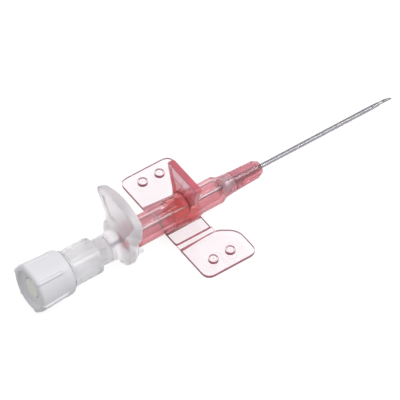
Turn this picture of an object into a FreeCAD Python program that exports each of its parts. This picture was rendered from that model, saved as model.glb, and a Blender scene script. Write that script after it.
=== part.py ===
import FreeCAD, Part
import math
import os

# Winged intravenous cannula, 20 gauge, without an injection port, shown with its needle in place.
# Millimetres. +X runs along the needle to its point, +Z is up, +Y is the left wing.
# The origin is the centre of the catheter hub's open luer mouth.

# Catheter and needle
catheter_outer_d = 1.10
needle_slide_gap = 0.04
catheter_free_length = 31.2
catheter_taper_length = 3.0
catheter_tip_outer_d = 0.92
flare_outer_d = 1.60
flare_bore_d = 1.24
flare_length = 3.0
flare_cone_length = 0.9
needle_outer_d = 0.72
needle_bore_d = 0.42
needle_reach = 3.6
bevel_angle = 14.0

# Steel ferrule that wedges the catheter in the hub
ferrule_needle_gap = 0.08
ferrule_head_d = 2.40
ferrule_head_length = 1.2
ferrule_mouth_d = 1.9
ferrule_setback = 0.2
seat_gap = 0.01

# Catheter hub
luer_mouth_d = 4.30
luer_taper = 0.06
luer_depth = 8.6
hub_barrel_d = 6.30
hub_sleeve_x = 10.0
hub_sleeve_d = 6.66
hub_sleeve_lead = 0.15
sleeve_run_out = 2.4
lug_span = 7.80
lug_length = 1.0
lug_half_angle = 38.0
front_barrel_end_x = 22.3
front_barrel_d = 6.1
front_barrel_shoulder = 1.4
front_bore_d = 4.0
front_bore_cone = 3.0
front_bore_end_wall = 0.4
neck_length = 2.5
neck_d = 4.80
neck_draft = 0.5
nose_length = 6.3
nose_root_d = 3.70
nose_tip_d = 3.60
nose_rib_d = 4.24
nose_rib_count = 8
nose_rib_width = 0.55
nose_rib_run_out = 0.5
nose_cap_length = 0.9
nose_rim_wall = 0.85

# Upright push plate on the hub
push_plate_x = 13.4
push_plate_thickness = 1.6
push_plate_height = 10.1
push_plate_top_width = 10.9
push_plate_foot_width = 6.9
push_plate_corner_r = 0.9
push_plate_rim = 0.7
push_plate_dish = 0.35
push_plate_foot_z = 3.0
collar_height = 0.35

# Wings and their roots
wing_top_z = -3.55
wing_thickness = 0.75
root_rear_x = 8.5
root_length = 8.8
root_half_width = 5.10
root_corner_r = 0.6
pedestal_half_width = 1.9
pedestal_bite = 0.9
film_width = 1.35
film_thickness = 0.25
film_gap = 0.05
film_lift = 0.15
wing_span = 32.7
wing_length = 13.1
wing_corner_r = 2.0
wing_shoulder = 2.5
wing_shoulder_r = 2.8
wing_front_flare = 0.7
stud_d = 2.2
stud_height = 0.75
stud_pitch = 4.30
stud_inset = 3.35
stud_first_x = 12.45

# Needle grip: nose, flange, thumb plate and locating prongs
nose_gap = 0.04
grip_nose_length = 7.4
nose_edge = 0.3
flange_front_x = -0.30
flange_thickness = 2.8
flange_d = 10.9
flange_edge = 0.5
flange_lip = 0.9
prong_half_angle = 12.0
prong_angle = 38.0
prong_length = 1.6
prong_thickness = 0.8
prong_hub_gap = 0.35
prong_root = 0.5
thumb_plate_front_x = -1.0
thumb_front_thickness = 0.9
thumb_rear_thickness = 1.25
thumb_half_width = 7.0
thumb_height = 13.0
thumb_corner_z = 10.6
thumb_side_z = 5.8
thumb_foot_half_width = 4.3
thumb_foot_z = 1.4
thumb_rear_corner_z = 10.2
thumb_rear_top_z = 12.2
thumb_waist_half_width = 3.2
thumb_waist_z = 4.9
thumb_rim = 0.9
thumb_dish = 0.55
grip_neck_d = 6.6
grip_neck_waist = 0.25
grip_neck_length = 2.55
spigot_d = 4.70
spigot_length = 2.9

# Flashback chamber
chamber_joint_gap = 0.02
chamber_neck_d = 6.10
chamber_neck_length = 3.2
chamber_d = 8.16
chamber_tube_length = 7.9
chamber_socket_length = 3.4
chamber_edge = 0.25
chamber_bore_d = 5.90
chamber_front_wall = 1.0

# Luer cap with its vent filter
cap_socket_gap = 0.05
cap_skirt_gap = 0.15
cap_front_overlap = 0.5
cap_length = 8.8
cap_rear_d = 11.2
cap_front_d = 10.2
cap_front_round = 0.9
cap_rear_round = 0.5
cap_end_wall = 2.2
cap_nose_length = 6.2
cap_nose_bore_d = 3.0
cap_rib_count = 6
cap_rib_width = 0.55
cap_rib_height = 0.32
cap_rib_length = 6.2
cap_rib_first_angle = 36.6
cap_flat_depth = 0.16
cap_recess_d = 7.6
cap_recess_depth = 0.8
cap_recess_draft = 0.3
filter_d = 4.4
filter_thickness = 1.0
filter_gap = 0.02

arch_steps = 10
past = 1.0

X_AXIS = FreeCAD.Vector(1, 0, 0)
UPRIGHT = FreeCAD.Vector(0, 0, 1)
CENTRE = FreeCAD.Vector(0, 0, 0)

# Places and fits worked out from the sizes above
catheter_bore_d = needle_outer_d + 2 * needle_slide_gap
ferrule_bore_d = needle_outer_d + 2 * ferrule_needle_gap
plate_front_x = push_plate_x + push_plate_thickness
neck_start_x = front_barrel_end_x + front_barrel_shoulder
nose_start_x = neck_start_x + neck_length
nose_end_x = nose_start_x + nose_length
hub_end_x = nose_end_x + nose_cap_length
catheter_tip_x = hub_end_x + catheter_free_length
needle_tip_x = catheter_tip_x + needle_reach
ferrule_head_x = neck_start_x + ferrule_setback
flare_start_x = ferrule_head_x + ferrule_head_length
flare_end_x = flare_start_x + flare_length
wing_floor_z = wing_top_z - wing_thickness
root_front_x = root_rear_x + root_length
film_outer_y = root_half_width + film_width
film_floor_z = wing_floor_z + film_lift
flange_rear_x = flange_front_x - flange_thickness
spigot_front_x = flange_rear_x - grip_neck_length
spigot_rear_x = spigot_front_x - spigot_length
chamber_shoulder_x = spigot_front_x - chamber_neck_length
chamber_tube_rear_x = chamber_shoulder_x - chamber_tube_length
chamber_rear_x = chamber_tube_rear_x - chamber_socket_length
cap_front_x = chamber_tube_rear_x + cap_front_overlap
cap_rear_x = cap_front_x - cap_length
cap_floor_x = cap_rear_x + cap_end_wall


def turned(points):
    """Solid turned about the X axis from (x, radius) points, closed along the axis or a bore."""
    corners = [FreeCAD.Vector(x, 0, r) for x, r in points]
    corners.append(corners[0])
    return Part.Face(Part.makePolygon(corners)).revolve(CENTRE, X_AXIS, 360)


def drilled(points):
    """Turned cutter for a bore: the given (x, radius) wall closed down to the axis."""
    first_x = points[0][0]
    last_x = points[-1][0]
    return turned([(first_x, 0)] + list(points) + [(last_x, 0)])


def rod(x0, length, radius):
    return Part.makeCylinder(radius, length, FreeCAD.Vector(x0, 0, 0), X_AXIS)


def box(x0, x1, y0, y1, z0, z1):
    return Part.makeBox(x1 - x0, y1 - y0, z1 - z0, FreeCAD.Vector(x0, y0, z0))


def plate_in_yz(outline, x0, thickness):
    """Prism along +X of a closed outline given as (y, z) points, started at x0."""
    corners = [FreeCAD.Vector(x0, y, z) for y, z in outline]
    corners.append(corners[0])
    return Part.Face(Part.makePolygon(corners)).extrude(FreeCAD.Vector(thickness, 0, 0))


def fin_in_xz(outline, width):
    """Fin of a closed (x, z) outline, centred on the XZ plane."""
    corners = [FreeCAD.Vector(x, -width / 2, z) for x, z in outline]
    corners.append(corners[0])
    return Part.Face(Part.makePolygon(corners)).extrude(FreeCAD.Vector(0, width, 0))


def spread_round(shape, count, first_angle):
    """Copies of a shape, evenly turned about the X axis."""
    copies = []
    for index in range(count):
        turned_copy = shape.copy()
        turned_copy.rotate(CENTRE, X_AXIS, first_angle + 360.0 * index / count)
        copies.append(turned_copy)
    return copies


def rounded_along(solid, direction, radius, test):
    """Fillet the straight edges along a direction whose middle passes the test."""
    picked = []
    for edge in solid.Edges:
        if edge.Curve.TypeId != "Part::GeomLine":
            continue
        middle = edge.CenterOfMass
        run = edge.Vertexes[1].Point - edge.Vertexes[0].Point
        if abs(run.normalize().dot(direction)) > 0.999 and test(middle):
            picked.append(edge)
    return solid.makeFillet(radius, picked)


def ring_sector(x0, length, inner_r, outer_r, middle_angle, half_angle):
    """Part of a ring about X; angles in degrees from +Z towards -Y."""
    ring = turned([(x0, inner_r), (x0 + length, inner_r), (x0 + length, outer_r), (x0, outer_r)])
    reach = 2 * outer_r
    left = math.radians(middle_angle - half_angle)
    right = math.radians(middle_angle + half_angle)
    wedge = plate_in_yz(
        [(0, 0), (-reach * math.sin(left), reach * math.cos(left)),
         (-reach * math.sin(right), reach * math.cos(right))], x0, length)
    return ring.common(wedge)


def arch(half_width, corner_z, top_z):
    """Points (y, z) of a round arch from its left corner over the top to its right corner."""
    sag = top_z - corner_z
    radius = (half_width * half_width + sag * sag) / (2 * sag)
    spread = math.asin(half_width / radius)
    points = []
    for step in range(arch_steps + 1):
        angle = spread * (2 * step / arch_steps - 1)
        points.append((radius * math.sin(angle), top_z - radius + radius * math.cos(angle)))
    return points


def mirrored(shape):
    return shape.mirror(CENTRE, FreeCAD.Vector(0, 1, 0))


def luer_radius(x):
    return luer_mouth_d / 2 - luer_taper * x / 2


def hub_skin():
    """Turned outside of the hub, from the luer mouth to the nose's rim, with the nose ribs."""
    barrel_r = hub_barrel_d / 2
    sleeve_r = hub_sleeve_d / 2
    collar_r = sleeve_r + collar_height
    front_r = front_barrel_d / 2
    rib_r = nose_rib_d / 2
    skin = turned([
        (0, 0), (0, barrel_r), (hub_sleeve_x, barrel_r), (hub_sleeve_x + hub_sleeve_lead, sleeve_r),
        (push_plate_x - 2 * collar_height, sleeve_r), (push_plate_x, collar_r),
        (plate_front_x, collar_r), (plate_front_x + sleeve_run_out, front_r),
        (front_barrel_end_x, front_r), (neck_start_x, neck_d / 2),
        (nose_start_x, (neck_d - neck_draft) / 2), (nose_start_x, nose_root_d / 2),
        (nose_end_x, nose_tip_d / 2), (hub_end_x, catheter_outer_d / 2 + nose_rim_wall), (hub_end_x, 0)])
    rib = fin_in_xz([
        (neck_start_x, 0), (neck_start_x, nose_tip_d / 2), (nose_start_x, rib_r),
        (nose_end_x - nose_rib_run_out, rib_r), (nose_end_x, nose_tip_d / 2), (nose_end_x, 0)],
        nose_rib_width)
    return skin.multiFuse(spread_round(rib, nose_rib_count, 0))


def hub_bore():
    """Cutter for the hub's bore: luer cone, hollow barrel, then the seats of ferrule and catheter."""
    front_r = front_bore_d / 2
    head_r = ferrule_head_d / 2 + seat_gap
    flare_r = flare_outer_d / 2 + seat_gap
    tube_r = catheter_outer_d / 2 + seat_gap
    return drilled([
        (-past, luer_radius(-past)), (luer_depth, luer_radius(luer_depth)),
        (luer_depth + front_bore_cone, front_r), (front_barrel_end_x - front_bore_end_wall, front_r),
        (ferrule_head_x, head_r), (flare_start_x, head_r), (flare_start_x, flare_r),
        (flare_end_x, flare_r), (flare_end_x + flare_cone_length, tube_r), (hub_end_x + past, tube_r)])


def push_plate():
    """The hub's upright plate: wide at the top, dished on its rear face."""
    top = push_plate_top_width / 2
    foot = push_plate_foot_width / 2
    outline = [(-foot, 0), (-foot, push_plate_foot_z), (-top, push_plate_height),
               (top, push_plate_height), (foot, push_plate_foot_z), (foot, 0)]
    plate = plate_in_yz(outline, push_plate_x, push_plate_thickness)
    plate = rounded_along(plate, X_AXIS, push_plate_corner_r, lambda p: p.z > push_plate_foot_z + past)
    lean = (top - foot) / (push_plate_height - push_plate_foot_z)
    dish_top = push_plate_height - push_plate_rim
    dish_foot = push_plate_foot_z + push_plate_rim
    dish_top_y = top - push_plate_rim * (1 + lean)
    dish_foot_y = foot - push_plate_rim / 2
    dish = plate_in_yz([(-dish_foot_y, dish_foot), (-dish_top_y, dish_top),
                        (dish_top_y, dish_top), (dish_foot_y, dish_foot)],
                       push_plate_x - past, past + push_plate_dish)
    return plate.cut(dish)


def catheter_hub():
    lug_base_r = (luer_mouth_d + hub_barrel_d) / 4
    lugs = [ring_sector(0, lug_length, lug_base_r, lug_span / 2, side, lug_half_angle)
            for side in (0, 180)]
    root = box(root_rear_x, root_front_x, -root_half_width, root_half_width, wing_floor_z, wing_top_z)
    root = rounded_along(root, UPRIGHT, root_corner_r, lambda p: p.x < root_rear_x + past)
    pedestal = box(root_rear_x, root_front_x, -pedestal_half_width, pedestal_half_width,
                   wing_floor_z, pedestal_bite - hub_sleeve_d / 2)
    solid = hub_skin().multiFuse([push_plate(), root, pedestal] + lugs)
    return solid.cut(hub_bore()).removeSplitter()


def left_wing():
    """Flexible wing with its film hinge and two locating studs, on the +Y side."""
    outer_y = wing_span / 2
    front_x = root_rear_x + wing_length
    corners = [(root_rear_x, film_outer_y), (root_front_x + wing_front_flare, film_outer_y),
               (front_x, film_outer_y + wing_shoulder), (front_x, outer_y), (root_rear_x, outer_y)]
    outline = [FreeCAD.Vector(x, y, wing_floor_z) for x, y in corners]
    outline.append(outline[0])
    panel = Part.Face(Part.makePolygon(outline)).extrude(FreeCAD.Vector(0, 0, wing_thickness))
    panel = rounded_along(panel, UPRIGHT, wing_corner_r, lambda p: p.y > outer_y - seat_gap)
    panel = rounded_along(panel, UPRIGHT, wing_shoulder_r,
                          lambda p: p.y < outer_y - wing_corner_r and p.x > front_x - seat_gap)
    film = box(root_rear_x, root_front_x, root_half_width + film_gap, film_outer_y,
               film_floor_z, film_floor_z + film_thickness)
    pieces = [film]
    for index in range(2):
        place = FreeCAD.Vector(stud_first_x + index * stud_pitch, outer_y - stud_inset, wing_floor_z)
        pieces.append(Part.makeCylinder(stud_d / 2, wing_thickness + stud_height, place))
    return panel.multiFuse(pieces).removeSplitter()


def catheter_tube():
    tube_r = catheter_outer_d / 2
    bore_r = catheter_bore_d / 2
    return turned([
        (flare_start_x, flare_bore_d / 2), (flare_end_x, flare_bore_d / 2),
        (flare_end_x + flare_cone_length, bore_r), (catheter_tip_x, bore_r),
        (catheter_tip_x, catheter_tip_outer_d / 2), (catheter_tip_x - catheter_taper_length, tube_r),
        (flare_end_x + flare_cone_length, tube_r), (flare_end_x, flare_outer_d / 2),
        (flare_start_x, flare_outer_d / 2)])


def catheter_ferrule():
    """Turned steel eyelet: a head with a lead-in for the needle and a tube inside the flare."""
    bore_r = ferrule_bore_d / 2
    tube_r = flare_bore_d / 2 - seat_gap
    tube_end_x = flare_end_x - ferrule_setback
    return turned([
        (ferrule_head_x, ferrule_mouth_d / 2), (flare_start_x, bore_r), (tube_end_x, bore_r),
        (tube_end_x, tube_r), (flare_start_x, tube_r), (flare_start_x, ferrule_head_d / 2),
        (ferrule_head_x, ferrule_head_d / 2)])


def needle_tube():
    """Steel tube, its point ground to one long bevel that faces up."""
    needle_r = needle_outer_d / 2
    length = needle_tip_x - spigot_rear_x
    tube = rod(spigot_rear_x, length, needle_r)
    tube = tube.cut(rod(spigot_rear_x - past, length + 2 * past, needle_bore_d / 2))
    back = 4 * needle_outer_d
    rise = back * math.tan(math.radians(bevel_angle))
    grind = fin_in_xz([
        (needle_tip_x, -needle_r), (needle_tip_x + past, -needle_r), (needle_tip_x + past, rise),
        (needle_tip_x - back, rise - needle_r)], 2 * needle_outer_d)
    return tube.cut(grind)


def thumb_plate():
    """Paddle of the needle grip: arched top, wide front, waisted rear with a dished face."""
    waist = thumb_waist_half_width
    middle_x = thumb_plate_front_x - thumb_front_thickness
    rear_x = middle_x - thumb_rear_thickness
    front = [(-thumb_foot_half_width, thumb_foot_z), (-thumb_half_width, thumb_side_z)]
    front += arch(thumb_half_width, thumb_corner_z, thumb_height)
    front += [(thumb_half_width, thumb_side_z), (thumb_foot_half_width, thumb_foot_z)]
    rear = [(-waist, 0), (-waist, thumb_waist_z)]
    rear += arch(thumb_half_width, thumb_rear_corner_z, thumb_rear_top_z)
    rear += [(waist, thumb_waist_z), (waist, 0)]
    hollow = [(thumb_rim - waist, thumb_waist_z + thumb_rim)]
    hollow += arch(thumb_half_width - 2 * thumb_rim, thumb_rear_corner_z - thumb_rim / 3,
                   thumb_rear_top_z - thumb_rim)
    hollow += [(waist - thumb_rim, thumb_waist_z + thumb_rim)]
    plate = plate_in_yz(front, middle_x, thumb_front_thickness)
    plate = plate.fuse(plate_in_yz(rear, rear_x, thumb_rear_thickness))
    return plate.cut(plate_in_yz(hollow, rear_x - past, past + thumb_dish))


def needle_grip():
    neck_r = grip_neck_d / 2
    waist_r = neck_r - grip_neck_waist
    flange_r = flange_d / 2
    lip_r = flange_r - flange_edge
    nose_root = luer_radius(flange_front_x) - nose_gap
    nose_tip = luer_radius(grip_nose_length) - nose_gap
    spigot_r = spigot_d / 2
    body = turned([
        (spigot_rear_x, 0), (spigot_rear_x, spigot_r), (spigot_front_x, spigot_r),
        (spigot_front_x, waist_r), (flange_rear_x - flange_lip, waist_r),
        (flange_rear_x, neck_r + flange_edge), (flange_rear_x, lip_r),
        (flange_rear_x + flange_edge, flange_r), (flange_front_x - flange_lip, flange_r),
        (flange_front_x, lip_r), (flange_front_x, nose_root), (grip_nose_length - nose_edge, nose_tip),
        (grip_nose_length, nose_tip - nose_edge), (grip_nose_length, 0)])
    prong_inner_r = hub_barrel_d / 2 + prong_hub_gap
    prongs = [ring_sector(flange_front_x - prong_root, prong_length + prong_root, prong_inner_r,
                          prong_inner_r + prong_thickness, side, prong_half_angle)
              for side in (90 + prong_angle, 270 - prong_angle)]
    bore = rod(spigot_rear_x - past, grip_nose_length - spigot_rear_x + 2 * past,
               needle_outer_d / 2 + seat_gap)
    solid = body.multiFuse([thumb_plate()] + prongs)
    return solid.cut(bore).removeSplitter()


def flash_chamber():
    bore_r = chamber_bore_d / 2
    neck_bore_r = spigot_d / 2 + chamber_joint_gap
    tube_r = chamber_d / 2
    inner_front_x = chamber_shoulder_x - chamber_front_wall
    return turned([
        (spigot_front_x, neck_bore_r), (spigot_front_x, chamber_neck_d / 2),
        (chamber_shoulder_x, chamber_neck_d / 2), (chamber_shoulder_x, tube_r - chamber_edge),
        (chamber_shoulder_x - chamber_edge, tube_r), (chamber_rear_x, tube_r),
        (chamber_rear_x, bore_r), (inner_front_x, bore_r), (inner_front_x, neck_bore_r)])


def luer_cap():
    """Ribbed cap: its skirt goes round the chamber's open end and its nose goes inside."""
    rear_r = cap_rear_d / 2
    front_r = cap_front_d / 2
    nose_r = chamber_bore_d / 2 - cap_socket_gap
    skirt_r = chamber_d / 2 + cap_skirt_gap
    rib_start_x = cap_rear_x + cap_rear_round
    rib_end_x = rib_start_x + cap_rib_length
    cap_nose_x = cap_floor_x + cap_nose_length
    filter_front_x = cap_rear_x + cap_recess_depth + filter_thickness
    filter_r = filter_d / 2 + filter_gap
    body = turned([
        (cap_rear_x, 0), (cap_rear_x, rear_r - cap_rear_round), (rib_start_x, rear_r),
        (cap_front_x - cap_front_round, front_r), (cap_front_x, front_r - cap_front_round / 2),
        (cap_front_x, 0)])
    flat = box(rib_start_x + cap_rear_round, rib_end_x, -rear_r, rear_r,
               rear_r - cap_flat_depth, rear_r + past)
    rib_top = rear_r + cap_rib_height
    rib = fin_in_xz([
        (cap_rear_x, skirt_r), (cap_rear_x, rib_top - cap_rear_round), (rib_start_x, rib_top),
        (rib_end_x, front_r + cap_rib_height / 2), (rib_end_x, skirt_r)], cap_rib_width)
    half_step = 180.0 / cap_rib_count
    flats = spread_round(flat, cap_rib_count, cap_rib_first_angle + half_step)
    ribs = spread_round(rib, cap_rib_count, cap_rib_first_angle)
    solid = body.cut(Part.makeCompound(flats)).multiFuse(ribs)
    socket = turned([
        (cap_floor_x, nose_r), (cap_floor_x, skirt_r), (cap_front_x + past, skirt_r),
        (cap_front_x + past, 0), (cap_nose_x, 0), (cap_nose_x, nose_r)])
    vent = drilled([
        (cap_rear_x - past, cap_recess_d / 2), (cap_rear_x, cap_recess_d / 2),
        (cap_rear_x + cap_recess_depth, cap_recess_d / 2 - cap_recess_draft),
        (cap_rear_x + cap_recess_depth, filter_r), (filter_front_x, filter_r),
        (filter_front_x, cap_nose_bore_d / 2), (cap_nose_x + past, cap_nose_bore_d / 2)])
    return solid.cut(socket).cut(vent).removeSplitter()


def vent_filter():
    return rod(cap_rear_x + cap_recess_depth, filter_thickness, filter_d / 2)


def write_parts():
    os.makedirs("parts", exist_ok=True)
    wing = left_wing()
    parts = {
        "catheter_hub": catheter_hub(),
        "left_wing": wing,
        "right_wing": mirrored(wing),
        "catheter_tube": catheter_tube(),
        "catheter_ferrule": catheter_ferrule(),
        "needle_tube": needle_tube(),
        "needle_grip": needle_grip(),
        "flash_chamber": flash_chamber(),
        "luer_cap": luer_cap(),
        "vent_filter": vent_filter(),
    }
    for name, shape in parts.items():
        shape.exportStep(os.path.join("parts", name + ".step"))
        bounds = shape.BoundBox
        print(name, len(shape.Solids), shape.isValid(), round(shape.Volume, 3),
              [round(v, 2) for v in (bounds.XMin, bounds.XMax, bounds.YMin, bounds.YMax,
                                     bounds.ZMin, bounds.ZMax)])


write_parts()
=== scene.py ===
import math

import bmesh
import bpy
from mathutils import Matrix, Vector


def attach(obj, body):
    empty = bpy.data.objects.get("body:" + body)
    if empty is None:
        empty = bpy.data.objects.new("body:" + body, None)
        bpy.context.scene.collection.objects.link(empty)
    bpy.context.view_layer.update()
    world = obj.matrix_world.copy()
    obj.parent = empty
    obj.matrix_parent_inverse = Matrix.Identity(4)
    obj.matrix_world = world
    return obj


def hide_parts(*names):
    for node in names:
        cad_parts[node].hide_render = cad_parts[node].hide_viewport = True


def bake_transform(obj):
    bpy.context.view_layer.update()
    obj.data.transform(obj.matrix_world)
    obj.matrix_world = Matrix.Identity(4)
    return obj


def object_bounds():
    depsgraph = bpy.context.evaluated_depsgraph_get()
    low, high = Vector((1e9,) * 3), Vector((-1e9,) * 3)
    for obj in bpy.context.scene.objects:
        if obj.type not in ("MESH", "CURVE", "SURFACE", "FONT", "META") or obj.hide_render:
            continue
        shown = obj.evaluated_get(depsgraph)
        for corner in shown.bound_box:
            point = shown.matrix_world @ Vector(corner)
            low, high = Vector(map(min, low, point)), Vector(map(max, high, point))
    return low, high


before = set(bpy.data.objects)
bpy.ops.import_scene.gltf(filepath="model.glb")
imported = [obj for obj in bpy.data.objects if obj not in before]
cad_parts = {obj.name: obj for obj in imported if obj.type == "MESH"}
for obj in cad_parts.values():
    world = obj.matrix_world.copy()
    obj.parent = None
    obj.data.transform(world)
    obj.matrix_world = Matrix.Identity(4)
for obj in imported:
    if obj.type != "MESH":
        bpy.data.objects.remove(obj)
cad_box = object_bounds()

# The camera stands high behind the luer cap, on the right wing's side, where the photograph was
# taken from. Its long lens lays the cannula across the frame, with the needle to the upper right.
scene = bpy.context.scene
scene.view_settings.view_transform = "Standard"
camera_data = bpy.data.cameras.new("camera")
camera_data.sensor_width = 36.0
camera_data.lens = 405.0
camera_data.clip_start = 0.01
camera_data.clip_end = 20.0
camera = bpy.data.objects.new("camera", camera_data)
scene.collection.objects.link(camera)
camera.matrix_world = Matrix((
    (0.81892, 0.43481, -0.37459, -0.3357),
    (-0.57391, 0.62043, -0.53450, -0.5049),
    (0.0, 0.65269, 0.75762, 0.7152),
    (0.0, 0.0, 0.0, 1.0)))
scene.camera = camera

# The floor is a wide sheet of white paper under the cannula. It keeps a soft shadow, and part of
# its white is a glow that only the eye, gloss and clear plastic see, so it lights nothing.
floor_half = 3.0
floor_drop = 0.0002
paper_shade = 0.27
paper_glow = 0.83


def paper_white():
    """Matt white paper with its glow."""
    material = bpy.data.materials.new("floor_paper")
    material.use_nodes = True
    tree = material.node_tree
    tree.nodes.clear()
    output = tree.nodes.new("ShaderNodeOutputMaterial")
    both = tree.nodes.new("ShaderNodeAddShader")
    matt = tree.nodes.new("ShaderNodeBsdfDiffuse")
    matt.inputs["Color"].default_value = (paper_shade, paper_shade, paper_shade, 1.0)
    glow = tree.nodes.new("ShaderNodeEmission")
    path = tree.nodes.new("ShaderNodeLightPath")
    seen = None
    for ray in ("Is Camera Ray", "Is Glossy Ray", "Is Transmission Ray"):
        step = tree.nodes.new("ShaderNodeMath")
        step.operation = "MAXIMUM"
        tree.links.new(path.outputs[ray], step.inputs[0])
        step.inputs[1].default_value = 0.0
        if seen:
            tree.links.new(seen.outputs[0], step.inputs[1])
        seen = step
    strength = tree.nodes.new("ShaderNodeMath")
    strength.operation = "MULTIPLY"
    strength.inputs[1].default_value = paper_glow
    tree.links.new(seen.outputs[0], strength.inputs[0])
    tree.links.new(strength.outputs[0], glow.inputs["Strength"])
    tree.links.new(matt.outputs[0], both.inputs[0])
    tree.links.new(glow.outputs[0], both.inputs[1])
    tree.links.new(both.outputs[0], output.inputs["Surface"])
    return material


floor_z = cad_box[0][2] - floor_drop
floor_mesh = bpy.data.meshes.new("floor")
floor_mesh.from_pydata(
    [(x, y, floor_z) for x, y in ((-floor_half, -floor_half), (floor_half, -floor_half),
                                  (floor_half, floor_half), (-floor_half, floor_half))],
    [], [(0, 1, 2, 3)])
floor = bpy.data.objects.new("floor", floor_mesh)
scene.collection.objects.link(floor)
floor_mesh.materials.append(paper_white())

# The studio is a plain bright room. Its far wall is dimmer low down, which draws the dark lines in
# the clear plastic. Three soft boxes light the cannula: a long strip overhead, a box past the
# needle's point on the right, and a weak fill from the left.
room_bright = 0.80
room_dim = 0.40
far_wall_side = (0.574, 0.819, 0.0)
far_wall_begins = 0.1
far_wall_full = 0.5
dim_from_height = 0.62
dim_full_height = 0.35
world = bpy.data.worlds.new("studio_room")
scene.world = world
world.use_nodes = True
room = world.node_tree
room_place = room.nodes.new("ShaderNodeTexCoord")
room_split = room.nodes.new("ShaderNodeSeparateXYZ")
room.links.new(room_place.outputs["Generated"], room_split.inputs[0])
room_low = room.nodes.new("ShaderNodeMapRange")
room_low.inputs["From Min"].default_value = dim_from_height
room_low.inputs["From Max"].default_value = dim_full_height
room.links.new(room_split.outputs["Z"], room_low.inputs["Value"])
room_side = room.nodes.new("ShaderNodeVectorMath")
room_side.operation = "DOT_PRODUCT"
room_side.inputs[1].default_value = far_wall_side
room.links.new(room_place.outputs["Generated"], room_side.inputs[0])
room_far = room.nodes.new("ShaderNodeMapRange")
room_far.inputs["From Min"].default_value = far_wall_begins
room_far.inputs["From Max"].default_value = far_wall_full
room.links.new(room_side.outputs["Value"], room_far.inputs["Value"])
room_wall = room.nodes.new("ShaderNodeMath")
room_wall.operation = "MULTIPLY"
room.links.new(room_low.outputs["Result"], room_wall.inputs[0])
room.links.new(room_far.outputs["Result"], room_wall.inputs[1])
room_tone = room.nodes.new("ShaderNodeMapRange")
room_tone.inputs["To Min"].default_value = room_bright
room_tone.inputs["To Max"].default_value = room_dim
room.links.new(room_wall.outputs["Value"], room_tone.inputs["Value"])
room.links.new(room_tone.outputs["Result"], room.nodes["Background"].inputs["Color"])


def soft_box(name, place, aim, width, height, power):
    """A rectangular lamp that faces its aim, in metres and watts."""
    lamp = bpy.data.lights.new(name, "AREA")
    lamp.shape = "RECTANGLE"
    lamp.size = width
    lamp.size_y = height
    lamp.energy = power
    holder = bpy.data.objects.new(name, lamp)
    scene.collection.objects.link(holder)
    holder.location = place
    holder.rotation_euler = (Vector(aim) - Vector(place)).to_track_quat("-Z", "Y").to_euler()


soft_box("overhead_strip", (0.24, -0.06, 0.60), (0.02, 0.0, 0.0), 0.04, 0.60, 0.5)
soft_box("near_box", (0.25, -0.31, 0.51), (0.0, 0.0, 0.0), 0.60, 0.13, 1.35)
soft_box("far_fill", (-0.05, 0.60, 0.22), (0.0, 0.0, 0.0), 0.60, 0.25, 0.9)

# The catheter hub is one moulding in clear pink polycarbonate: luer mouth with its two lugs, thick
# sleeve under the push plate, hollow barrel, neck and ribbed nose. Its bore is cored by one pin,
# and where the plastic is thick it looks coral.
mm = 0.001
hub_sides = 192
hub_edge = 0.22
luer_lug_rise = 0.75
luer_lug_end = 1.25
luer_lug_half = math.radians(38)
nose_ribs = 8
nose_rib_rise = 0.30
nose_ribs_begin = 26.22
nose_ribs_end = 32.6
hub_outside = [(0.0, 3.15), (1.0, 3.15), (1.3, 3.15), (10.0, 3.15), (10.1, 3.36), (12.7, 3.36),
               (13.4, 3.68), (15.0, 3.68), (17.3, 3.05), (22.3, 3.05), (23.1, 2.62), (23.8, 2.4),
               (26.2, 2.16), (26.3, 1.86), (32.5, 1.8), (33.4, 1.45)]
hub_inside = [(33.4, 0.545), (29.0, 0.545), (28.1, 0.795), (25.1, 0.795), (25.1, 1.19),
              (23.9, 1.19), (23.2, 1.6), (21.9, 2.0), (11.6, 2.0), (8.6, 1.89), (0.0, 2.15)]
push_plate_rear = 13.4
push_plate_front = 15.0
push_plate_edge = 0.28
push_plate_outline = [(-3.45, 0.0), (-3.45, 3.0), (-5.45, 10.1), (5.45, 10.1), (3.45, 3.0),
                      (3.45, 0.0)]
push_plate_easing = [0.45, 1.2, 1.1, 1.1, 1.2, 0.45]
saddle_radius = 2.7
dish_outline = [(-2.5, 2.4), (-4.55, 9.4), (4.55, 9.4), (2.5, 2.4)]
dish_depth = 0.3
dish_edge = 0.3
pedestal_outline = [(8.6, -1.9), (17.2, -1.9), (17.2, 1.9), (8.6, 1.9)]
pedestal_floor = -3.9
pedestal_top = -2.45


def softened(points, reach, steps=4):
    """A closed outline with each corner eased over the given reach along both its sides."""
    eased = []
    for index, corner in enumerate(points):
        here = Vector(corner)
        back = Vector(points[index - 1]) - here
        ahead = Vector(points[(index + 1) % len(points)]) - here
        ease = reach[index] if isinstance(reach, list) else reach
        ease = min(ease, 0.45 * back.length, 0.45 * ahead.length)
        start = here + back.normalized() * ease
        end = here + ahead.normalized() * ease
        for step in range(steps + 1):
            t = step / steps
            eased.append((1 - t) ** 2 * start + 2 * t * (1 - t) * here + t ** 2 * end)
    return eased


def new_piece(name, verts, faces):
    """A mesh object drawn in millimetres, its faces turned outwards."""
    mesh = bpy.data.meshes.new(name)
    mesh.from_pydata(verts, [], faces)
    form = bmesh.new()
    form.from_mesh(mesh)
    bmesh.ops.remove_doubles(form, verts=form.verts, dist=1e-4)
    bmesh.ops.recalc_face_normals(form, faces=form.faces)
    form.to_mesh(mesh)
    form.free()
    piece = bpy.data.objects.new(name, mesh)
    scene.collection.objects.link(piece)
    return piece


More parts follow.
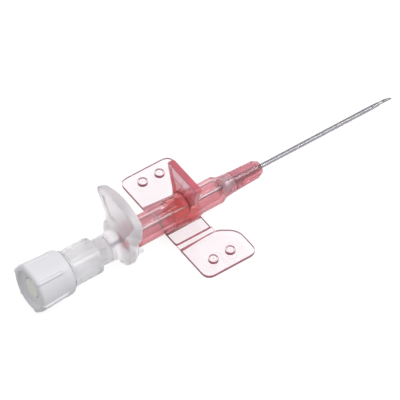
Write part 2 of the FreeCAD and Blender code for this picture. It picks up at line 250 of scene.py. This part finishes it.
def turned(name, outline, sides, swell=None, place=lambda x, y, z: (x, y, z)):
    """A closed (x, radius) outline turned about X. swell(x, r, angle) adds to the radius."""
    verts = []
    faces = []
    for x, r in outline:
        for side in range(sides):
            angle = 2 * math.pi * side / sides
            radius = r + (swell(x, r, angle) if swell else 0.0)
            verts.append(place(x, -radius * math.sin(angle), radius * math.cos(angle)))
    for ring in range(len(outline)):
        here = ring * sides
        after = (ring + 1) % len(outline) * sides
        for side in range(sides):
            turn = (side + 1) % sides
            faces.append((here + side, after + side, after + turn, here + turn))
    return new_piece(name, verts, faces)


def plate(name, outline, low, high, edge, place):
    """A moulded plate of a closed outline with rounded rims; place(u, v, w) stands it in space."""
    count = len(outline)
    area = sum(outline[i - 1][0] * outline[i][1] - outline[i][0] * outline[i - 1][1]
               for i in range(count))
    inward = -1.0 if area > 0 else 1.0
    slopes = []
    for index in range(count):
        run = Vector(outline[(index + 1) % count]) - Vector(outline[index])
        slopes.append(Vector((run.y, -run.x)).normalized() * inward)
    levels = []
    rim_steps = 4
    for step in range(rim_steps + 1):
        angle = math.pi / 2 * step / rim_steps
        levels.append((edge * (1 - math.sin(angle)), low + edge * (1 - math.cos(angle))))
    levels += [(inset, low + high - level) for inset, level in reversed(levels)]
    verts = []
    for inset, level in levels:
        for index in range(count):
            lean = slopes[index - 1] + slopes[index]
            shift = lean * (inset / max(0.4, 1 + slopes[index - 1].dot(slopes[index])))
            u, v = Vector(outline[index]) + shift
            verts.append(place(u, v, level))
    faces = [tuple(range(count)), tuple(range((len(levels) - 1) * count, len(levels) * count))]
    for ring in range(len(levels) - 1):
        for index in range(count):
            after = (index + 1) % count
            faces.append((ring * count + index, ring * count + after,
                          (ring + 1) * count + after, (ring + 1) * count + index))
    return new_piece(name, verts, faces)


def moulded_together(base, others, cut=()):
    """Unites the other forms with the base, takes the cut forms away, and keeps one mesh."""
    for other, operation in [(o, "UNION") for o in others] + [(c, "DIFFERENCE") for c in cut]:
        step = base.modifiers.new("mould", "BOOLEAN")
        step.operation = operation
        step.solver = "MANIFOLD"
        step.object = other
    bpy.context.view_layer.update()
    graph = bpy.context.evaluated_depsgraph_get()
    mesh = bpy.data.meshes.new_from_object(base.evaluated_get(graph))
    base.modifiers.clear()
    base.data = mesh
    for other in list(others) + list(cut):
        bpy.data.objects.remove(other)
    return base


def polished(piece, material, crease=38):
    """Takes a form from millimetres to metres, smooths all but its creases, and finishes it."""
    piece.data.transform(Matrix.Scale(mm, 4))
    piece.data.materials.clear()
    piece.data.materials.append(material)
    piece.data.shade_smooth()
    piece.data.set_sharp_from_angle(angle=math.radians(crease))
    evened = piece.modifiers.new("even_shading", "WEIGHTED_NORMAL")
    evened.keep_sharp = True
    return piece


flow_shade = 0.96
flow_relief = 0.05
flow_relief_strength = 0.08
# Painted edge shade begins and is full at these facing values.
painted_edge_begins = 0.45
painted_edge_full = 0.85


def clear_plastic(name, skin, depth_colour, depth, haze, rough, ior=1.49, flow_size=6.0,
                  edge=None):
    """Moulded plastic, from clear at no haze to solid white at a haze of 1.

    Faint flow marks run in its skin. depth_colour deepens inside it, at a density of depth, and
    edge is painted shade, a darker colour painted where the skin turns away from the eye.
    """
    material = bpy.data.materials.new(name)
    material.use_nodes = True
    tree = material.node_tree
    shader = tree.nodes["Principled BSDF"]
    shader.inputs["IOR"].default_value = ior
    shader.inputs["Transmission Weight"].default_value = 1.0 - haze
    place = tree.nodes.new("ShaderNodeTexCoord")
    flow = tree.nodes.new("ShaderNodeTexNoise")
    flow.inputs["Scale"].default_value = 1.0 / (flow_size * mm)
    flow.inputs["Detail"].default_value = 2.0
    tree.links.new(place.outputs["Object"], flow.inputs["Vector"])
    tone = tree.nodes.new("ShaderNodeMix")
    tone.data_type = "RGBA"
    tone.inputs[6].default_value = (*[c * flow_shade for c in skin], 1.0)
    tone.inputs[7].default_value = (*skin, 1.0)
    tree.links.new(flow.outputs["Fac"], tone.inputs[0])
    tree.links.new(tone.outputs[2], shader.inputs["Base Color"])
    # Painted shade: the skin is painted towards edge where it turns away from the eye.
    if edge:
        slant = tree.nodes.new("ShaderNodeLayerWeight")
        slant.inputs["Blend"].default_value = 0.5
        painted_edge_share = tree.nodes.new("ShaderNodeMapRange")
        painted_edge_share.inputs["From Min"].default_value = painted_edge_begins
        painted_edge_share.inputs["From Max"].default_value = painted_edge_full
        tree.links.new(slant.outputs["Facing"], painted_edge_share.inputs["Value"])
        rim = tree.nodes.new("ShaderNodeMix")
        rim.data_type = "RGBA"
        rim.inputs[7].default_value = (*edge, 1.0)
        tree.links.new(painted_edge_share.outputs["Result"], rim.inputs[0])
        tree.links.new(tone.outputs[2], rim.inputs[6])
        tree.links.new(rim.outputs[2], shader.inputs["Base Color"])
    sheen = tree.nodes.new("ShaderNodeMapRange")
    sheen.inputs["To Min"].default_value = rough * 0.7
    sheen.inputs["To Max"].default_value = rough * 1.3
    tree.links.new(flow.outputs["Fac"], sheen.inputs["Value"])
    tree.links.new(sheen.outputs["Result"], shader.inputs["Roughness"])
    ripple = tree.nodes.new("ShaderNodeBump")
    ripple.inputs["Strength"].default_value = flow_relief_strength
    ripple.inputs["Distance"].default_value = flow_relief * mm
    tree.links.new(flow.outputs["Fac"], ripple.inputs["Height"])
    tree.links.new(ripple.outputs["Normal"], shader.inputs["Normal"])
    if depth:
        body = tree.nodes.new("ShaderNodeVolumeAbsorption")
        body.inputs["Color"].default_value = (*depth_colour, 1.0)
        body.inputs["Density"].default_value = depth
        tree.links.new(body.outputs["Volume"], tree.nodes["Material Output"].inputs["Volume"])
    return material


def upright(u, v, w):
    """Plates that stand across the needle: u is Y, v is Z and w is X."""
    return (w, u, v)


def level(u, v, w):
    """Plates that lie flat: u is X, v is Y and w is Z."""
    return (u, v, w)


def hub_swell(x, r, angle):
    """Luer lugs at the mouth, top and bottom, and the ribs along the nose."""
    on_mouth_skin = r > 3.0
    on_nose_skin = r > 1.6
    if x < luer_lug_end and on_mouth_skin:
        off_centre = min(angle, abs(angle - math.pi), 2 * math.pi - angle)
        side = min(1.0, max(0.0, (luer_lug_half - off_centre) / 0.06))
        return luer_lug_rise * side * min(1.0, max(0.0, (luer_lug_end - x) / 0.2))
    if nose_ribs_begin < x < nose_ribs_end and on_nose_skin:
        wave = math.cos(nose_ribs * angle)
        crest = min(1.0, max(0.0, (wave - 0.25) / 0.35))
        return nose_rib_rise * crest * min(1.0, (nose_ribs_end - x) / 0.6)
    return 0.0


def tint_thick_and_painted(material, tint, haze, ramps):
    """Thick plastic looks deeper and cloudier, by the tint and the haze.

    Each ramp is X, Z or a mark on the faces, the value at which the tint begins and the value at
    which it is full, in millimetres along X and Z. It is tinted where all its ramps are. Most
    entries follow thick plastic; some paint shade where the plastic is no thicker.
    """
    tree = material.node_tree
    skin = tree.nodes["Principled BSDF"].inputs["Base Color"]
    clearness = tree.nodes["Principled BSDF"].inputs["Transmission Weight"]
    place = tree.nodes.new("ShaderNodeTexCoord")
    along = tree.nodes.new("ShaderNodeSeparateXYZ")
    tree.links.new(place.outputs["Object"], along.inputs[0])
    depth = None
    for source, none, full in ramps:
        ramp = tree.nodes.new("ShaderNodeMapRange")
        if source in ("X", "Z"):
            ramp.inputs["From Min"].default_value = none * mm
            ramp.inputs["From Max"].default_value = full * mm
            tree.links.new(along.outputs[source], ramp.inputs["Value"])
        else:
            mark = tree.nodes.new("ShaderNodeAttribute")
            mark.attribute_name = source
            ramp.inputs["From Min"].default_value = none
            ramp.inputs["From Max"].default_value = full
            tree.links.new(mark.outputs["Fac"], ramp.inputs["Value"])
        if depth:
            both = tree.nodes.new("ShaderNodeMath")
            both.operation = "MULTIPLY"
            tree.links.new(depth, both.inputs[0])
            tree.links.new(ramp.outputs["Result"], both.inputs[1])
            depth = both.outputs["Value"]
        else:
            depth = ramp.outputs["Result"]
    deeper = tree.nodes.new("ShaderNodeMix")
    deeper.data_type = "RGBA"
    deeper.blend_type = "MULTIPLY"
    tree.links.new(depth, deeper.inputs[0])
    tree.links.new(skin.links[0].from_socket, deeper.inputs[6])
    deeper.inputs[7].default_value = (*tint, 1.0)
    tree.links.new(deeper.outputs[2], skin)
    cloud = tree.nodes.new("ShaderNodeMath")
    cloud.operation = "MULTIPLY_ADD"
    cloud.inputs[1].default_value = -haze
    cloud.inputs[2].default_value = clearness.default_value
    if clearness.links:
        tree.links.new(clearness.links[0].from_socket, cloud.inputs[2])
    tree.links.new(depth, cloud.inputs[0])
    tree.links.new(cloud.outputs["Value"], clearness)


# The hub's edge colour is painted shade: a dark crimson painted where its skin turns away from the
# eye.
hub_pink = clear_plastic("hub_pink", (0.99, 0.92, 0.94), (0.92, 0.38, 0.44), 270.0, 0.03, 0.04,
                         edge=(0.48, 0.09, 0.15))
# The entry that darkens the hub towards its bottom is painted shade, and the entry keyed to the
# plate's rim faces paints them deep pink, a painted shade for the dark edges of clear plastic.
thick_and_painted_parts = {
    "sleeve": ((1.0, 0.42, 0.40), 0.16, [("X", 9.9, 10.2), ("X", 16.6, 15.2), ("Z", 7.0, 3.0)]),
    "plate": ((0.95, 0.86, 0.90), 0.15, [("X", 13.3, 13.4), ("X", 15.1, 15.0), ("Z", 2.0, 3.5)]),
    "neck": ((0.95, 0.78, 0.84), 0.25, [("X", 22.6, 23.4), ("X", 26.3, 26.1)]),
    "nose": ((0.86, 0.65, 0.71), 0.10, [("X", 25.9, 26.2), ("X", 33.0, 32.2)]),
    "painted_low_shade": ((0.84, 0.46, 0.50), 0.06, [("Z", 1.8, -0.4)]),
    "mouth": ((0.84, 0.36, 0.42), 0.10, [("X", 1.5, 1.2)]),
    "rim": ((1.0, 0.34, 0.42), 0.22, [("painted_plate_rim", 0.0, 1.0)])}
for tint, haze, ramps in thick_and_painted_parts.values():
    tint_thick_and_painted(hub_pink, tint, haze, ramps)
hub = turned("hub_barrel", softened(hub_outside + hub_inside, hub_edge), hub_sides, hub_swell)
saddle = [(saddle_radius * math.sin(a), saddle_radius * math.cos(a)) for a in
          [math.radians(90 - 15 * step) for step in range(13)]]
push_plate = plate("push_plate", softened(push_plate_outline, push_plate_easing) + saddle,
                   push_plate_rear, push_plate_front, push_plate_edge, upright)
dish = plate("dish", softened(dish_outline, 0.6), push_plate_rear - 1.0,
             push_plate_rear + dish_depth, dish_edge, upright)
pedestal = plate("pedestal", softened(pedestal_outline, 0.3), pedestal_floor, pedestal_top, 0.08,
                 level)
moulded_together(push_plate, [], [dish])
moulded_together(hub, [push_plate, pedestal])
polished(hub, hub_pink)
# The push plate's upright rim faces are marked here, to be painted deep pink as painted shade.
plate_foot = 4
smallest_facet = 1e-9
painted_plate_rim = hub.data.attributes.new("painted_plate_rim", "FLOAT", "FACE")
for face in hub.data.polygons:
    along_plate = push_plate_rear * mm < face.center.x < push_plate_front * mm
    on_plate = along_plate and face.center.z > plate_foot * mm
    upturned = abs(face.normal.x) < 0.7 and face.area > smallest_facet
    painted_plate_rim.data[face.index].value = on_plate and upturned
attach(hub, "hub")
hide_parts("catheter_hub")

# The wing root is the thin flat shelf under the hub, of the same shot of clear pink plastic. It is
# so thin that it looks almost white, and its upright rims are painted dark pink as painted shade.
wing_floor = -4.3
wing_top = -3.55
wing_edge = 0.14
root_half = 5.1
root_outline = [(8.5, -root_half), (17.3, -root_half), (17.3, root_half), (8.5, root_half)]
wing_pink = clear_plastic("wing_pink", (1.0, 0.94, 0.967), (1, 1, 1), 0.0, 0.0, 0.03, 1.34)
painted_rim_pink = clear_plastic("painted_rim_pink", (0.50, 0.17, 0.21), (1, 1, 1), 0.0, 0.75, 0.2, 1.36)


def paint_pink_rims(piece):
    """Painted shade: rims painted dark pink, in place of light carried inside the thin plastic."""
    piece.data.materials.append(painted_rim_pink)
    for face in piece.data.polygons:
        lies_flat = abs(face.normal.z) >= 0.95
        if not lies_flat:
            face.material_index = 1


wing_root = plate("wing_root", softened(root_outline, [0.7, 0.2, 0.2, 0.7]), wing_floor,
                  wing_top, wing_edge, level)
polished(wing_root, wing_pink)
paint_pink_rims(wing_root)
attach(wing_root, "hub")
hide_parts("catheter_hub")

# Each wing is a flexible panel with two studs, moulded on to the root by a thin film that bends.
# The film is drawn as one piece with the wing, between the hub and the wing.
film_outer = root_half + 1.35
film_floor = -4.15
film_top = -3.90
film_rear = 8.55
film_front = 17.6
film_edge = 0.05
wing_outline = [(8.5, film_outer), (17.9, film_outer), (21.6, film_outer + 2.6), (21.6, 16.35),
                (8.5, 16.35)]
wing_corners = [0.25, 1.2, 2.8, 2.2, 2.2]
stud_places = [(12.45, 13.0), (16.75, 13.0)]
stud_outline = [(-3.9, 0.01), (-3.9, 1.1), (-2.8, 1.1), (-2.8, 0.8), (-2.9, 0.75), (-2.9, 0.01)]
slope_rear = [(8.3, 6.3, -3.95), (8.3, 6.3, -3.0), (8.3, 7.5, -3.0), (8.3, 7.5, -3.5)]
slope_front = [(18.4, 6.3, -3.62), (18.4, 6.3, -3.0), (18.4, 6.7, -3.0), (18.4, 6.7, -3.5)]


def wing(name, side):
    """A panel with its studs and film, thinned to a slope along its inner edge."""
    def across(x, y, z):
        return (x, side * y, z)

    panel = plate(name, softened(wing_outline, wing_corners, 7), wing_floor, wing_top, wing_edge,
                  across)
    section_top = [(5.0, film_top + 0.1), (5.25, film_top), (5.5, film_top), (5.8, film_top),
                   (6.1, film_top), (6.35, film_top), (6.6, film_top + 0.1)]
    section_floor = [(y, film_floor) for y in (6.6, 6.35, 6.1, 5.8, 5.5, 5.25, 5.0)]
    film = plate(name + "_film", section_top + section_floor, film_rear, film_front, film_edge,
                 lambda u, v, w: (w, side * u, v))
    studs = [turned(name + "_stud", softened(stud_outline, 0.14), 48, None,
                    lambda x, y, z, at=at: (at[0] + y, side * at[1] + z, x)) for at in stud_places]
    slope = new_piece(name + "_slope", [across(*corner) for corner in slope_rear + slope_front],
                      [(0, 1, 2, 3), (4, 5, 6, 7), (0, 1, 5, 4), (1, 2, 6, 5), (2, 3, 7, 6),
                       (3, 0, 4, 7)])
    moulded_together(panel, [], [slope])
    moulded_together(panel, [film] + studs)
    polished(panel, wing_pink)
    paint_pink_rims(panel)
    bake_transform(panel)
    return panel


left_panel = wing("left_panel", 1.0)
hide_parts("left_wing")
right_panel = wing("right_panel", -1.0)
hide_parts("right_wing")


# The catheter is a soft clear fluoropolymer tube, drawn thin at its end over the needle. Its other
# end is flared, and the ferrule, a small steel eyelet, wedges it in the hub.
drawing_lines = (30.0, 2500.0, 2500.0)
drawing_shade = 0.94


def drawn_steel(name, colour, rough):
    """Drawn steel tube: fine lines along its length."""
    material = bpy.data.materials.new(name)
    material.use_nodes = True
    tree = material.node_tree
    shader = tree.nodes["Principled BSDF"]
    shader.inputs["Metallic"].default_value = 1.0
    place = tree.nodes.new("ShaderNodeTexCoord")
    stretch = tree.nodes.new("ShaderNodeMapping")
    stretch.inputs["Scale"].default_value = drawing_lines
    lines = tree.nodes.new("ShaderNodeTexNoise")
    lines.inputs["Scale"].default_value = 1.0
    tree.links.new(place.outputs["Object"], stretch.inputs["Vector"])
    tree.links.new(stretch.outputs["Vector"], lines.inputs["Vector"])
    tone = tree.nodes.new("ShaderNodeMix")
    tone.data_type = "RGBA"
    tone.inputs[6].default_value = (*[c * drawing_shade for c in colour], 1.0)
    tone.inputs[7].default_value = (*colour, 1.0)
    tree.links.new(lines.outputs["Fac"], tone.inputs[0])
    tree.links.new(tone.outputs[2], shader.inputs["Base Color"])
    sheen = tree.nodes.new("ShaderNodeMapRange")
    sheen.inputs["To Min"].default_value = rough * 0.8
    sheen.inputs["To Max"].default_value = rough * 1.2
    tree.links.new(lines.outputs["Fac"], sheen.inputs["Value"])
    tree.links.new(sheen.outputs["Result"], shader.inputs["Roughness"])
    return material


def dress(node, material):
    """Gives a finish to a solid that already has the real piece's shape."""
    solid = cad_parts[node]
    solid.data.materials.clear()
    solid.data.materials.append(material)


catheter_outline = [(25.1, 0.61), (28.1, 0.61), (29.0, 0.355), (64.6, 0.355), (64.6, 0.46),
                    (61.6, 0.55), (29.0, 0.55), (28.1, 0.80), (25.1, 0.80)]
# The catheter's edge colour is painted shade: near black painted where its skin turns away from the
# eye.
catheter_clear = clear_plastic("catheter_clear", (0.93, 0.92, 0.94), (1, 1, 1), 0.0, 0.0, 0.03,
                               1.34, 40.0, (0.13, 0.11, 0.13))
catheter = turned("catheter", catheter_outline, 64)
polished(catheter, catheter_clear)
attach(catheter, "hub")
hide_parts("catheter_tube")
needle_steel = drawn_steel("needle_steel", (0.40, 0.39, 0.42), 0.34)
dress("catheter_ferrule", needle_steel)

# The needle is drawn steel tube, glued in the grip at one end and ground to a point at the other.
# Its bevel faces up, and its bore opens in the flashback chamber.
needle_rear = -8.55
needle_tip = 68.2
needle_radius = 0.36
needle_bore_radius = 0.21
bevel_length = 2.88
needle_outline = [(needle_rear, needle_bore_radius), (needle_tip, needle_bore_radius),
                  (needle_tip, needle_radius), (needle_rear, needle_radius)]
grind_outline = [(needle_tip, -needle_radius), (needle_tip + 1.0, -needle_radius),
                 (needle_tip + 1.0, 2 * needle_radius), (needle_tip - bevel_length, needle_radius)]
needle = turned("needle", needle_outline, 48)
grind = plate("grind", grind_outline, -0.7, 0.7, 0.01, lambda u, v, w: (u, w, v))
moulded_together(needle, [], [grind])
polished(needle, needle_steel)
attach(needle, "needle_set")
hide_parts("needle_tube")

# The needle grip is a milky moulding: a luer nose that plugs into the hub, a round flange with two
# prongs, and the thumb plate, whose rear face is dished.
grip_sides = 128
grip_profile = [(-8.55, 2.35), (-5.65, 2.35), (-5.65, 3.05), (-4.7, 3.1), (-3.7, 3.7), (-2.95, 4.6),
                (-2.8, 5.4), (-1.6, 5.4), (-1.0, 4.8), (-0.3, 4.6), (-0.3, 2.11), (7.1, 1.89),
                (7.4, 1.6), (7.4, 0.37), (-8.55, 0.37)]
grip_easing = [0.3, 0.3, 0.3, 0.3, 0.5, 0.12, 0.14, 0.14, 0.2, 0.3, 0.3, 0.3, 0.3, 0.3, 0.3]
thumb_outline = [(-4.0, -0.2), (-7.0, 6.2), (-7.0, 10.9), (-4.6, 12.2), (-1.6, 13.0), (1.6, 13.0),
                 (4.6, 12.2), (7.0, 10.9), (7.0, 6.2), (4.0, -0.2)]
thumb_easing = [0.4, 0.5, 0.9, 1.0, 1.0, 1.0, 1.0, 0.9, 0.5, 0.4]
thumb_front = -1.0
thumb_depth = 2.15
thumb_edge = 0.45
thumb_half = 7.0
thumb_lift = 0.9
thumb_dish_rear = -4.2
thumb_dish_front = -2.5
thumb_dish_outline = [(-2.1, 5.8), (-5.4, 10.4), (-3.4, 11.5), (0.0, 12.0), (3.4, 11.5),
                      (5.4, 10.4), (2.1, 5.8)]
thumb_waist = [(0.4, 3.15), (4.9, 3.15), (7.6, 5.3), (10.3, 7.0)]
prong_angles = (128.0, 232.0)
prong_span = 24.0
prong_inner = 3.5
prong_outer = 4.3
prong_rear = -0.8
prong_front = 1.3
clear_nose_rear = -0.2
clear_nose_reach = 2.3
grip_milk = clear_plastic("grip_milk", (0.995, 0.97, 0.995), (1, 1, 1), 0.0, 0.14, 0.34, 1.42)
nose_clear = clear_plastic("nose_clear", (0.98, 0.97, 0.985), (1, 1, 1), 0.0, 0.10, 0.06, 1.36)
grip = turned("grip_body", softened(grip_profile, grip_easing), grip_sides)


def thumb_place(u, v, w):
    """Stands the thumb plate up, and draws its sides in towards the rear, down to the waist."""
    rearward = min(1.0, max(0.0, (thumb_front - w) / thumb_depth))
    half = thumb_waist[0][1]
    for (low, low_half), (high, high_half) in zip(thumb_waist, thumb_waist[1:]):
        if v > low:
            half = low_half + (high_half - low_half) * min(1.0, (v - low) / (high - low))
    narrow = min(1.0, half / max(0.01, abs(u)))
    rise = thumb_lift * rearward * (u / thumb_half) ** 2 * min(1.0, max(0.0, (v - 7.0) / 3.0))
    return (w, u * (1 + rearward * (narrow - 1)), v + rise)


thumb = plate("thumb", softened(thumb_outline, thumb_easing, 8), thumb_front - thumb_depth,
              thumb_front, thumb_edge, thumb_place)
thumb_dish = plate("thumb_dish", softened(thumb_dish_outline, 0.8), thumb_dish_rear,
                   thumb_dish_front, 0.5, upright)
moulded_together(thumb, [], [thumb_dish])
prongs = []
for prong_angle in prong_angles:
    arc = [math.radians(prong_angle + prong_span * (step / 6 - 0.5)) for step in range(7)]
    sector = [(-prong_inner * math.sin(a), prong_inner * math.cos(a)) for a in arc]
    sector += [(-prong_outer * math.sin(a), prong_outer * math.cos(a)) for a in reversed(arc)]
    prongs.append(plate("prong", sector, prong_rear, prong_front, 0.12, upright))
moulded_together(grip, [thumb] + prongs)
polished(grip, grip_milk)
grip.data.materials.append(nose_clear)
for face in grip.data.polygons:
    off_axis = Vector(face.center.yz).length
    if face.center.x > clear_nose_rear * mm and off_axis < clear_nose_reach * mm:
        face.material_index = 1
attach(grip, "needle_set")
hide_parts("needle_grip")

# The flashback chamber is a clear, slightly milky tube with a shoulder and a narrow neck that is
# welded over the grip's spigot.
chamber_profile = [(-5.65, 2.37), (-5.65, 3.05), (-8.85, 3.05), (-8.85, 4.08), (-15.45, 4.08),
                   (-15.6, 4.32), (-15.9, 4.32), (-16.05, 4.08), (-20.15, 4.08),
                   (-20.15, 2.95), (-9.85, 2.95), (-9.85, 2.37)]
chamber_clear = clear_plastic("chamber_clear", (0.99, 0.98, 1.0), (0.85, 0.85, 0.92), 5.0, 0.32,
                              0.20, 1.49)
chamber = turned("chamber", softened(chamber_profile, 0.25), 128)
polished(chamber, chamber_clear)
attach(chamber, "needle_set")
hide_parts("flash_chamber")

# The luer cap is a white satin moulding. Six broad flats run along it with a fine rib between each
# pair, and its end is cupped round the vent filter.
cap_sides = 360
cap_profile = [(-25.05, 4.2), (-25.05, 5.1), (-24.55, 5.6), (-17.15, 5.1), (-16.55, 4.95),
               (-16.25, 4.65), (-16.25, 4.23), (-22.85, 4.23), (-22.85, 2.9), (-17.0, 2.9),
               (-16.65, 2.5), (-16.65, 1.5), (-23.25, 1.5), (-23.25, 2.22), (-24.3, 2.24),
               (-24.45, 3.9)]
cap_skin_radius = 4.9
cap_ribs = 6
cap_first_rib = math.radians(36.6)
cap_rib_rise = 0.34
cap_flat_drop = 0.14
cap_ribs_end = -17.4
cap_ribs_fade = -18.2
cap_ring_steps = 14


def cap_swell(x, r, angle):
    """Fine ribs, and flats between them that fade out before the cap's front."""
    if r < cap_skin_radius or x > cap_ribs_end:
        return 0.0
    share = 2 * math.pi / cap_ribs
    turn = (angle - cap_first_rib) % share
    off_rib = min(turn, share - turn) * 5.6
    rib = min(1.0, max(0.0, (0.45 - off_rib) / 0.2))
    fade = min(1.0, max(0.0, (cap_ribs_fade - x) / 0.6))
    flat = -cap_flat_drop * math.cos((turn - share / 2) * cap_ribs / 2)
    return fade * (flat + cap_rib_rise * rib)


cap_white = clear_plastic("cap_white", (0.69, 0.69, 0.72), (1, 1, 1), 0.0, 1.0, 0.38, 1.46, 9.0)
cap_form = softened(cap_profile, 0.35)
cap_rings = []
for index, point in enumerate(cap_form):
    cap_rings.append(point)
    ahead = cap_form[(index + 1) % len(cap_form)]
    on_skin = point.y > cap_skin_radius and ahead.y > cap_skin_radius
    if on_skin and (ahead - point).length > 3.0:
        cap_rings += [point.lerp(ahead, ring / cap_ring_steps)
                      for ring in range(1, cap_ring_steps)]
cap = turned("cap", cap_rings, cap_sides, cap_swell)
polished(cap, cap_white, 50)
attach(cap, "cap")
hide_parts("luer_cap")

# The vent filter is a disc of sintered plastic pressed into the cap. It lets air out, and stops
# blood.
filter_felt = clear_plastic("filter_felt", (0.93, 0.915, 0.86), (1, 1, 1), 0.0, 1.0, 0.85, 1.45,
                            0.4)
dress("vent_filter", filter_felt)
